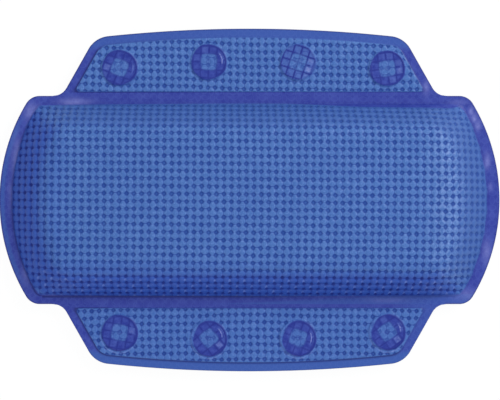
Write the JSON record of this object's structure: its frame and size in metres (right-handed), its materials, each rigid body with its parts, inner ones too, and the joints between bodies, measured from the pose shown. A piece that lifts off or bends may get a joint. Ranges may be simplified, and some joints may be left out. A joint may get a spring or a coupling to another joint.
{
  "type": "bath pillow",
  "caption": "Foam-filled vinyl bath pillow with a basket-weave front, a foldable flap along each long side and suction cups on the back of the flaps.",
  "frame": {"origin": "on the surface that the pillow lies on, below the middle of its outline", "axes": "+X along the pillow's length, +Y across it towards the upper flap, +Z out of its embossed front"},
  "size_m": [0.32, 0.2192, 0.0336],
  "materials": {
    "front_vinyl": "gloss",
    "back_vinyl": "gloss",
    "foam": "matte",
    "cup_vinyl": "gloss"
  },
  "bodies": {
    "cushion": {"cushion_front_cover": "front_vinyl", "cushion_back_cover": "back_vinyl", "foam_core": "foam"},
    "upper_flap": {"upper_flap_front_film": "front_vinyl", "upper_flap_back_film": "back_vinyl", "suction_cup_upper_1": "cup_vinyl", "suction_cup_upper_2": "cup_vinyl", "suction_cup_upper_3": "cup_vinyl", "suction_cup_upper_4": "cup_vinyl"},
    "lower_flap": {"lower_flap_front_film": "front_vinyl", "lower_flap_back_film": "back_vinyl", "suction_cup_lower_1": "cup_vinyl", "suction_cup_lower_2": "cup_vinyl", "suction_cup_lower_3": "cup_vinyl", "suction_cup_lower_4": "cup_vinyl"}
  },
  "joints": [
    {"name": "upper_flap_fold", "type": "hinge", "parent": "cushion", "child": "upper_flap", "pos_m": [0, 0.0678, 0.008], "axis": [1, 0, 0], "range_deg": [-90, 110], "stiffness_Nm_per_rad": 0.04},
    {"name": "lower_flap_fold", "type": "hinge", "parent": "cushion", "child": "lower_flap", "pos_m": [0, -0.0678, 0.008], "axis": [-1, 0, 0], "range_deg": [-90, 110], "stiffness_Nm_per_rad": 0.04}
  ]
}
